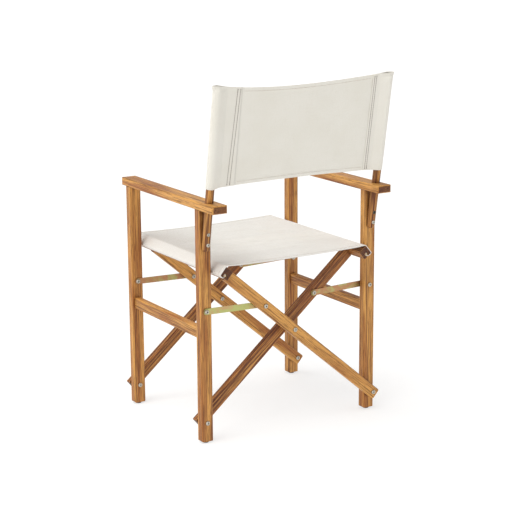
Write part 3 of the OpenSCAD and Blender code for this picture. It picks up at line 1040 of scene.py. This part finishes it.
@dataclass
class SeatCover:
    """The seat: one cloth from the rod in one rail's groove, over both rails, to the rod in the other."""

    layout: Layout
    depth: float = 442.4 * MM
    thickness: float = 1.2 * MM
    clearance: float = 0.3 * MM
    rail_half_height: float = 12.0 * MM
    rail_half_width: float = 12.5 * MM
    rod_offset: float = -5.7 * MM
    rod_radius: float = 2.5 * MM
    slot_layer: float = 1.1 * MM
    slot_end: float = -11.5 * MM
    pocket_length: float = 26.0 * MM
    hem: float = 13.0 * MM
    hem_fold: float = 1.0 * MM
    pitch: float = 5.5 * MM
    edge_hold: float = 9.0 * MM
    sag_limit: float = 12.0 * MM
    crest_limit: float = 3.5 * MM
    crease_height: float = 4.6 * MM
    crease_set: float = 0.9  # share of a crease that stays pressed into the cloth
    shift_limit: float = 3.0 * MM
    pocket_short: float = 3.5 * MM
    rod_slack: float = 0.1 * MM
    top_corner: float = 3.2 * MM
    lower_corner: float = 3.0 * MM
    mouth_corner: float = 0.9 * MM
    row_pitch: float = 7.0 * MM
    stitch_inset: float = 2.5 * MM
    stitch_dent: float = 0.22 * MM
    stitch_dent_reach: float = 1.1 * MM
    hem_ridge: float = 0.2 * MM
    turn_inset: float = 4.0 * MM

    def _half_line(self) -> list[Vector]:
        """The cloth's middle line in the rail's own section, from over the rail to the end of the rod pocket.

        Returns:
            Points in the rail's frame, the first on the flat of the seat.
        """
        half = self.thickness / 2
        face = self.rail_half_height + self.clearance + half
        under = -(self.rail_half_width + self.clearance + half)
        inward = self._to_rail(Vector((0.0, self.layout.seat_top - half)))
        slope = Vector((math.cos(self.layout.bar_angle), -math.sin(self.layout.bar_angle)))
        top = inward + slope * ((face - inward.x) / slope.x)
        lower, mouth = Vector((face, under)), Vector((self.slot_layer, under))
        loop = self.rod_radius + half + self.rod_slack
        start = -math.degrees(math.acos(self.slot_layer / loop))
        rod = Vector((0.0, self.rod_offset))
        pocket = arc(rod, loop, start, 180 - start, 20)
        line = [inward]
        line += fillet(inward, top, lower, self.top_corner)
        line += fillet(top, lower, mouth, self.lower_corner, 7)
        line += fillet(lower, mouth, pocket[0], self.mouth_corner, 4)
        line += pocket
        line += [Vector((-self.slot_layer, self.slot_end))]
        return line

    def _to_rail(self, spot: Vector) -> Vector:
        """Turns a place into the left rail's own section frame.

        Args:
            spot: across and up.

        Returns:
            Out of the rail's upper face and up its outer side.
        """
        along, rise = math.cos(self.layout.bar_angle), math.sin(self.layout.bar_angle)
        x, z = spot.x - self.layout.rail_x, spot.y - self.layout.rail_z
        return Vector((x * along + z * rise, -x * rise + z * along))

    def _from_rail(self, spot: Vector) -> Vector:
        """Turns a place in the left rail's own section frame back.

        Args:
            spot: the place in the rail's frame.

        Returns:
            Across and up.
        """
        along, rise = math.cos(self.layout.bar_angle), math.sin(self.layout.bar_angle)
        return Vector((self.layout.rail_x + spot.x * along - spot.y * rise,
                       self.layout.rail_z + spot.x * rise + spot.y * along))

    def section(self) -> Array:
        """Works out the whole middle line.

        Returns:
            Rows of across and up, from the right rod to the left rod.
        """
        half = [self._from_rail(p) for p in densify(self._half_line(), self.pitch)]
        left = np.array([tuple(p) for p in half])
        right = left[:0:-1] * (-1, 1)
        return np.concatenate([right, left])

    def _creases(self, x: Array, y: Array, reach: float) -> Array:
        """Draws soft creases that run from rail to rail, deeper near the middle.

        Args:
            x: across the chair.
            y: front to rear.
            reach: half the width of the flat of the seat.

        Returns:
            How far each place lies above or below the flat.
        """
        waves = np.zeros(np.broadcast(x, y).shape)
        generator = np.random.default_rng(11)
        for wavelength in (34, 47, 61, 83, 120):
            phase, drift, bow = generator.uniform(0, 2 * math.pi, 3)
            skew = 0.22 * math.sin(drift)
            bend = 0.35 * np.sin(x / (reach * 0.55) + bow)
            waves = waves + np.sin(2 * math.pi * (y + skew * x) / (wavelength * MM) + phase + bend * 2)
        middle = np.cos(np.clip(x / reach, -1, 1) * math.pi / 2) ** 0.6
        return waves / 5 * middle * self.crease_height * (0.55 + 0.45 * np.cos(y / (70 * MM)))

    def grid(self) -> tuple[Array, Array, Array]:
        """The settled middle surface.

        Returns:
            The grid of points, the distance along the section and the distance from the front edge.
        """
        section = self.section()
        along = hemmed_rows(self.depth, self.hem, self.row_pitch)
        start = self.layout.y_seat - self.depth / 2
        grid = np.zeros((len(section), len(along), 3))
        grid[..., 0], grid[..., 2] = section[:, None, 0], section[:, None, 1]
        grid[..., 1] = start + along[None, :]
        run = lengths(section)
        to_end = np.minimum(run, run[-1] - run)
        in_pocket = ease(self.pocket_length + 2 * MM, self.pocket_length - 3 * MM, to_end)
        centred = 1 - 2 * along / self.depth
        near_hem = np.abs(centred) ** 8 * np.sign(centred)
        grid[..., 1] += self.pocket_short * in_pocket[:, None] * near_hem[None, :]
        flat_z = self.layout.seat_top - self.thickness / 2
        top = np.abs(section[:, 1] - flat_z) < 1e-6
        reach = float(np.abs(section[top, 0]).max())
        columns = np.flatnonzero(top)
        x, y = grid[columns][..., 0], grid[columns][..., 1]
        free = ease(reach, reach - 2.2 * self.edge_hold, np.abs(x))
        lift = self._creases(x, y, reach) * free
        start_shape = grid[columns].copy()
        start_shape[..., 2] += lift
        held = np.where(np.abs(x) > reach - 0.5 * MM, 1.0, 0.0)
        settled = ClothRelaxer().settle(start_shape, held)
        moved = settled[..., 2] - flat_z
        LOG.info("seat cloth settles from %.1f to %.1f mm", moved.min() / MM, moved.max() / MM)
        moved = np.clip(moved + self.crease_set * lift, -self.sag_limit, self.crest_limit)
        grid[columns, :, 0] = settled[..., 0]
        grid[columns, :, 1] = y + np.clip(settled[..., 1] - y, -self.shift_limit, self.shift_limit)
        grid[columns, :, 2] = flat_z + moved
        return grid, lengths(section), along

    def build(self) -> bpy.types.Object:
        """Makes the cover and its hem stitches.

        Returns:
            The cover.
        """
        grid, across, along = self.grid()
        to_edge = np.minimum(along, self.depth - along)
        in_hem = 1 - ease(self.hem - 0.6 * MM, self.hem + 0.6 * MM, to_edge)
        from_stitches = (to_edge - (self.hem - self.stitch_inset)) / self.stitch_dent_reach
        pulled_in = np.exp(-from_stitches ** 2) * self.stitch_dent
        half = self.thickness / 2
        above = (half + self.hem_ridge * in_hem - pulled_in) * edge_roll(to_edge)
        below = ((half + self.hem_fold * in_hem) * edge_roll(to_edge))[None, :]
        on_face = ease(2.2 * self.hem, 1.6 * self.hem, np.minimum(across, across[-1] - across))[:, None]
        below = below * (1 - on_face) + half * edge_roll(to_edge)[None, :] * on_face
        near_rail = ease(self.layout.rail_x - 25 * MM, self.layout.rail_x - 8 * MM, np.abs(grid[:, :1, 0]))
        below = np.minimum(below, half + (self.hem_fold * (1 - near_rail)))
        above = np.broadcast_to(above, below.shape).copy()
        flat = np.stack(np.broadcast_arrays(across[:, None], along[None, :]), axis=2)
        cover = thick_sheet("seat_cover", grid, above, below, flat)
        cover.data.materials.append(SEAT_DUCK.material("cotton_duck_seat"))
        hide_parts("seat_canvas")

        normal = grid_normals(grid)
        outside = grid + normal * above[..., None]
        clear_of_pockets = slice(30, -30)
        inset = self.hem - self.stitch_inset
        stitches = sew_hems("seat_hem_stitches", "fawn_thread_seat", (inset, self.depth - inset), along,
                            SEAT_HEM_STITCH, [(outside[clear_of_pockets], normal[clear_of_pockets])])
        for piece in (cover, stitches):
            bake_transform(piece)
        LOG.info("seat_cover: %.0f mm of cloth over the rails", across[-1] / MM)
        return cover


# ---------------------------------------------------------------- back


class Side(Enum):
    """A side of the sitter."""

    LEFT = 1
    RIGHT = -1


@dataclass
class BackCanvas:
    """The back: a hemmed panel sewn between two sleeves, each a double layer round its raked post."""

    layout: Layout
    lean_degrees: float = 9.8
    post_set_back: float = 12.6 * MM
    post_foot: float = 476.0 * MM
    post_radius: float = 10.0 * MM
    lower_edge: float = 153.0 * MM
    height: float = 244.6 * MM
    thickness: float = 1.2 * MM
    layer: float = 1.4 * MM
    hem: float = 11.0 * MM
    hem_proud: float = 0.45 * MM
    clearance: float = 0.3 * MM
    sleeve_bend: float = 24.0 * MM
    bend_radius: float = 16.0 * MM
    pitch: float = 6.0 * MM
    sleeve_row_pitch: float = 8.0 * MM
    panel_row_pitch: float = 7.0 * MM
    panel_columns: int = 84
    pucker_pitch: float = 9.0 * MM
    pucker_share: float = 0.12
    crease_margin: float = 26.0 * MM
    top_dip: float = 13.0 * MM
    bottom_rise: float = 4.0 * MM
    sleeve_reach: dict[Side, float] = field(default_factory=lambda: {
        Side.LEFT: 172.0 * MM, Side.RIGHT: 190.5 * MM})
    seam_rows: dict[Side, tuple[float, float]] = field(default_factory=lambda: {
        Side.LEFT: (184.5 * MM, 177.0 * MM), Side.RIGHT: (201.0 * MM, 195.5 * MM)})
    seam_slant: dict[Side, float] = field(default_factory=lambda: {Side.LEFT: 10.0 * MM, Side.RIGHT: 0.0})
    stitch_inset: float = 2.0 * MM
    post_stop: float = 231.0 * MM
    flat_share: float = 0.34
    flat_spread: float = 4.0 * MM
    panel_tuck: dict[Side, float] = field(default_factory=lambda: {
        Side.LEFT: 214.0 * MM, Side.RIGHT: 222.0 * MM})
    tuck_slant: float = 26.0 * MM
    fold_keep: float = 0.372
    fold_tilt_degrees: float = -3.0
    crease_height: float = 0.9 * MM
    settle_limit: float = 3.0 * MM

    def _place(self, x: Array, off: Array, up: Array) -> Array:
        """Points in the row frame from across, behind the posts' plane and up along the posts.

        Args:
            x: across the chair.
            off: square to the plane of the two posts, towards the rear.
            up: along the posts, from their lower ends.

        Returns:
            The points, with one more axis of three.
        """
        lean = math.radians(self.lean_degrees)
        x, off, up = np.broadcast_arrays(x, off, up)
        y = self.layout.y_rear + self.post_set_back + off * math.cos(lean) + up * math.sin(lean)
        return np.stack([x, y, self.post_foot - off * math.sin(lean) + up * math.cos(lean)], axis=-1)

    def _rearward(self) -> Array:
        """The direction square to the plane of the posts, towards the rear."""
        lean = math.radians(self.lean_degrees)
        return np.array([0.0, math.cos(lean), -math.sin(lean)])

    def _up(self, x: Array, along: Array) -> Array:
        """Height along the posts of a place on the cloth, whose top edge dips and whose lower edge rises.

        Args:
            x: across the chair.
            along: height above the cloth's lower edge, near a post.

        Returns:
            Height along the posts, from their lower ends.
        """
        share = np.clip((self.layout.leg_x - x) / (2 * self.layout.leg_x), 0, 1)
        dip = self.top_dip * np.sin(math.pi * share**0.75)
        rise = self.bottom_rise * np.sin(math.pi * share)
        return self.lower_edge + rise + along * (self.height - dip - rise) / self.height

    def _sleeve_line(self, side: Side) -> Array:
        """Works out a sleeve's middle line in plan.

        Args:
            side: the sitter's left or right.

        Returns:
            Rows of across and rearward, from its rear inner edge round the post to its front inner edge.
        """
        post = Vector((self.layout.leg_x, 0.0))
        radius = self.post_radius + self.clearance + self.thickness / 2
        bend = Vector((self.layout.leg_x - self.sleeve_bend, self.layer))
        to_bend = bend - post
        touch = math.degrees(math.atan2(to_bend.y, to_bend.x) - math.acos(radius / to_bend.length))
        round_post = arc(post, radius, touch, -touch, 28)
        inner = Vector((self.sleeve_reach[side], self.layer))
        first = densify([inner] + fillet(inner, bend, round_post[0], self.bend_radius), self.pitch)
        line = first + round_post + [Vector((p.x, -p.y)) for p in reversed(first)]
        return np.array([(p.x, p.y) for p in line])

    def _hem_profile(self, along: Array) -> tuple[Array, Array]:
        """Where the hems are, and how far each place is from a hemmed edge."""
        to_edge = np.minimum(along, self.height - along)
        return 1 - ease(self.hem - 0.6 * MM, self.hem + 0.6 * MM, to_edge), to_edge

    def _sleeve(self, side: Side, cloth: bpy.types.Material) -> bpy.types.Object:
        """Makes one sleeve and its two rows of seam stitches, and puts them on their side frame.

        Args:
            side: the sitter's left or right.
            cloth: the canvas finish.

        Returns:
            The sleeve.
        """
        word = side.name.lower()
        line = self._sleeve_line(side)
        across, along = lengths(line), hemmed_rows(self.height, self.hem, self.sleeve_row_pitch)
        pressed = ease(self.post_stop, self.height - 4 * MM, along)[None, :]
        round_part = ease(self.layout.leg_x - 22 * MM, self.layout.leg_x + 8 * MM, line[:, None, 0])
        x = side.value * (line[:, None, 0] + self.flat_spread * pressed * round_part)
        grid = self._place(x, line[:, None, 1] * (1 - (1 - self.flat_share) * pressed * round_part),
                           self._up(x, along[None, :]))
        in_hem, to_edge = self._hem_profile(along)
        half = self.thickness / 2
        to_seam = np.minimum(across, across[-1] - across)
        thin = 0.45 + 0.55 * ease(0, 7 * MM, to_seam)
        near_seam = np.exp(-((to_seam[:, None] - 9 * MM) / (5 * MM)) ** 2)
        pucker = 1 + self.pucker_share * np.sin(2 * math.pi * along / self.pucker_pitch) * near_seam
        outside = ((half + self.hem_proud * in_hem) * edge_roll(to_edge))[None, :] * thin[:, None] * pucker
        inside = np.broadcast_to((half * edge_roll(to_edge))[None, :], outside.shape) * thin[:, None]
        flat = np.stack(np.broadcast_arrays(across[:, None], along[None, :]), axis=2)
        pair = (outside, inside) if side is Side.LEFT else (inside, outside)
        if side is Side.RIGHT:
            grid, flat, pair = grid[::-1], flat[::-1], (outside[::-1], inside[::-1])
        sleeve = thick_sheet(f"back_sleeve_{word}", grid, *pair, flat)
        sleeve.data.materials.append(cloth)

        stitches = self._seams(side)
        normal = grid_normals(grid)
        inset = self.hem - self.stitch_inset
        places = (inset, self.height - inset)
        hems = sew_hems(f"sleeve_hem_stitches_{word}", f"fawn_thread_sleeve_{word}", places, along,
                        BACK_HEM_STITCH, [(grid + normal * pair[0][..., None], normal)])
        for piece in (sleeve, stitches, hems):
            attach(piece, f"{word}_frame")
        LOG.info("back_sleeve_%s: %.0f mm of cloth round the post", word, across[-1] / MM)
        return sleeve

    def _seams(self, side: Side) -> bpy.types.Object:
        """Sews both rows of a sleeve's seam, on its rear and on its front.

        Args:
            side: the sitter's left or right.

        Returns:
            The stitches.
        """
        rows = []
        run = np.linspace(3 * MM, self.height - 3 * MM, 90)
        level = self.layer + self.thickness / 2 + self.hem_proud * self._hem_profile(run)[0]
        for place in self.seam_rows[side]:
            across = side.value * (place + self.seam_slant[side] * (1 - run / self.height))
            for facing in (1, -1):
                spots = self._place(across, facing * level, self._up(across, run))
                rows.append(sewn_line(spots, np.tile(self._rearward() * facing, (len(run), 1)), SEAM_STITCH))
        stitches = join(f"sleeve_stitches_{side.name.lower()}", rows)
        stitches.data.materials.append(BROWN_THREAD.material(f"brown_thread_{side.name.lower()}"))
        return stitches

    def _panel(self, cloth: bpy.types.Material) -> bpy.types.Object:
        """Makes the panel between the sleeves, with its hems and hem stitches.

        Args:
            cloth: the canvas finish.

        Returns:
            The panel, on the left frame.
        """
        left, right = self.panel_tuck[Side.LEFT], -self.panel_tuck[Side.RIGHT]
        columns = np.linspace(left, right, self.panel_columns)[::-1]
        along = hemmed_rows(self.height, self.hem, self.panel_row_pitch)
        inner_left, inner_right = self.sleeve_reach[Side.LEFT], -self.sleeve_reach[Side.RIGHT]
        tucked = np.clip((inner_right - columns) / (inner_right - right), 0, 1)
        x = columns[:, None] + tucked[:, None] * self.tuck_slant * (1 - along[None, :] / self.height)
        free = ease(inner_right, inner_right + self.crease_margin, x)
        free = free * ease(inner_left, inner_left - self.crease_margin, x)
        up = self._up(x, along[None, :])
        generator = np.random.default_rng(5)
        waves = np.zeros(up.shape)
        for wavelength in (41, 58, 88, 130):
            phase, drift, bow = generator.uniform(0, 2 * math.pi, 3)
            waves += np.sin(2 * math.pi * (up + 0.18 * math.sin(drift) * x) / (wavelength * MM) + phase
                            + 0.7 * np.sin(x / (90 * MM) + bow))
        off = waves / 4 * self.crease_height * free
        grid = self._place(x, off, up)
        visible = np.flatnonzero((columns > inner_right + 3 * MM) & (columns < inner_left - 3 * MM))
        held = np.zeros((len(visible), len(along)))
        held[0] = held[-1] = 1.0
        settled = ClothRelaxer(bend_stiffness=0.02).settle(grid[visible], held)
        change = np.clip(settled - grid[visible], -self.settle_limit, self.settle_limit)
        grid[visible] += change * free[visible][..., None]
        in_hem, to_edge = self._hem_profile(along)
        half = self.thickness / 2
        shown = ease(inner_right + 1 * MM, inner_right + 5 * MM, x)
        shown = shown * ease(inner_left - 1 * MM, inner_left - 5 * MM, x)
        proud = self.hem_proud * in_hem[None, :] * shown
        above = (half + proud) * edge_roll(to_edge)[None, :]
        below = (half + 0.7 * proud) * edge_roll(to_edge)[None, :]
        flat = np.stack(np.broadcast_arrays(x, along[None, :]), axis=2)
        panel = thick_sheet("back_panel", grid[::-1], above[::-1], below[::-1], flat[::-1])
        panel.data.materials.append(cloth)
        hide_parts("back_canvas")

        normal = grid_normals(grid[::-1])[::-1]
        between = np.flatnonzero((columns > inner_right + 5 * MM) & (columns < inner_left - 5 * MM))
        inset = self.hem - self.stitch_inset
        sides = [((grid + normal * facing * depth[..., None])[between], (normal * facing)[between])
                 for facing, depth in ((1, above), (-1, below))]
        stitches = sew_hems("back_hem_stitches", "fawn_thread_back", (inset, self.height - inset), along,
                            BACK_HEM_STITCH, sides)
        for piece in (panel, stitches):
            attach(piece, "left_frame")
            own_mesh(piece)
        LOG.info("back_panel: %.0f mm of cloth between the sleeves", (left - right) / MM)
        return panel

    def build(self) -> None:
        """Makes both sleeves and the panel."""
        cloth = BACK_DUCK.material("cotton_duck_back")
        for side in Side:
            self._sleeve(side, cloth)
        self._panel(cloth)


# ---------------------------------------------------------------- studio


@dataclass
class Studio:
    """A pale floor, soft light all round and a camera behind the sitter's left shoulder."""

    camera_place: tuple[float, float, float] = (1.94686, 3.17534, 1.27804)
    camera_aim: tuple[float, float, float] = (-0.01103, -0.00614, 0.39331)
    camera_roll: float = -0.375
    lens: float = 106.449
    sensor: float = 36.0
    floor_half: float = 60.0
    sky_colour: str = "#ffffff"
    horizon_strength: float = 1.02
    overhead_strength: float = 0.5
    light_spread: float = 50.0

    def _floor(self) -> None:
        """Lays the floor."""
        half = self.floor_half
        corners = np.array([(-half, -half, 0), (half, -half, 0), (half, half, 0), (-half, half, 0)])
        floor = mesh_object("studio_floor", corners, [(0, 1, 2, 3)])
        floor.data.materials.append(LitCove().material("matt_floor"))

    def _light(self, name: str, place: tuple[float, float, float], strength: float, colour: str) -> None:
        """Hangs one far, wide soft light that faces the chair and lights the whole floor evenly.

        Args:
            name: the light's name.
            place: where it hangs, as seen from the chair's middle.
            strength: in watts to the square metre.
            colour: its colour.
        """
        data = bpy.data.lights.new(name, "SUN")
        data.angle = math.radians(self.light_spread)
        data.energy = strength
        data.color = linear(colour)[:3]
        lamp = bpy.data.objects.new(name, data)
        lamp.location = place
        lamp.rotation_mode = "QUATERNION"
        lamp.rotation_quaternion = (-Vector(place)).to_track_quat("-Z", "Y")
        bpy.context.scene.collection.objects.link(lamp)

    def _camera(self) -> None:
        """Sets up the camera."""
        data = bpy.data.cameras.new("camera")
        data.lens = self.lens
        data.sensor_width = self.sensor
        data.clip_end = 3 * self.floor_half
        camera = bpy.data.objects.new("camera", data)
        place, aim = Vector(self.camera_place), Vector(self.camera_aim)
        camera.location = place
        camera.rotation_mode = "QUATERNION"
        roll = Quaternion((0, 0, 1), math.radians(self.camera_roll))
        camera.rotation_quaternion = (aim - place).to_track_quat("-Z", "Y") @ roll
        bpy.context.scene.collection.objects.link(camera)
        bpy.context.scene.camera = camera

    def _sky(self) -> None:
        """Lights the backdrop, bright near the horizon and softer overhead."""
        world = bpy.data.worlds.new("studio")
        world.use_nodes = True
        tree = world.node_tree
        toward = add(tree, "ShaderNodeTexCoord", {}).outputs["Generated"]
        height = add(tree, "ShaderNodeSeparateXYZ", {"Vector": toward}).outputs["Z"]
        inputs = {"Value": height, "From Min": 0.1, "From Max": 0.45, "To Min": self.horizon_strength,
                  "To Max": self.overhead_strength}
        fade = add(tree, "ShaderNodeMapRange", inputs, interpolation_type="SMOOTHSTEP").outputs[0]
        feed(tree, tree.nodes["Background"], {"Color": linear(self.sky_colour), "Strength": fade})
        bpy.context.scene.world = world

    def build(self) -> None:
        """Sets up the floor, the light and the camera."""
        self._floor()
        self._light("key", (1.7, -0.1, 3.6), 1.8, "#fffefb")
        self._light("fill", (3.0, 1.5, 1.4), 0.38, "#fff9f0")
        self._sky()
        self._camera()
        bpy.context.scene.view_settings.view_transform = "Standard"
        LOG.info("studio: floor, two soft lights, a bright backdrop and a camera of %.0f mm", self.lens)


def main() -> None:
    """Builds the chair's looks in order."""
    logging.basicConfig(level=logging.INFO, format="%(name)s: %(message)s")
    layout = Layout.from_frame()
    Studio().build()
    WoodenFrame(layout).dress()
    Hardware().dress()
    SeatCover(layout).build()
    BackCanvas(layout).build()
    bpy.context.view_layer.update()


if __name__ == "__main__":
    main()
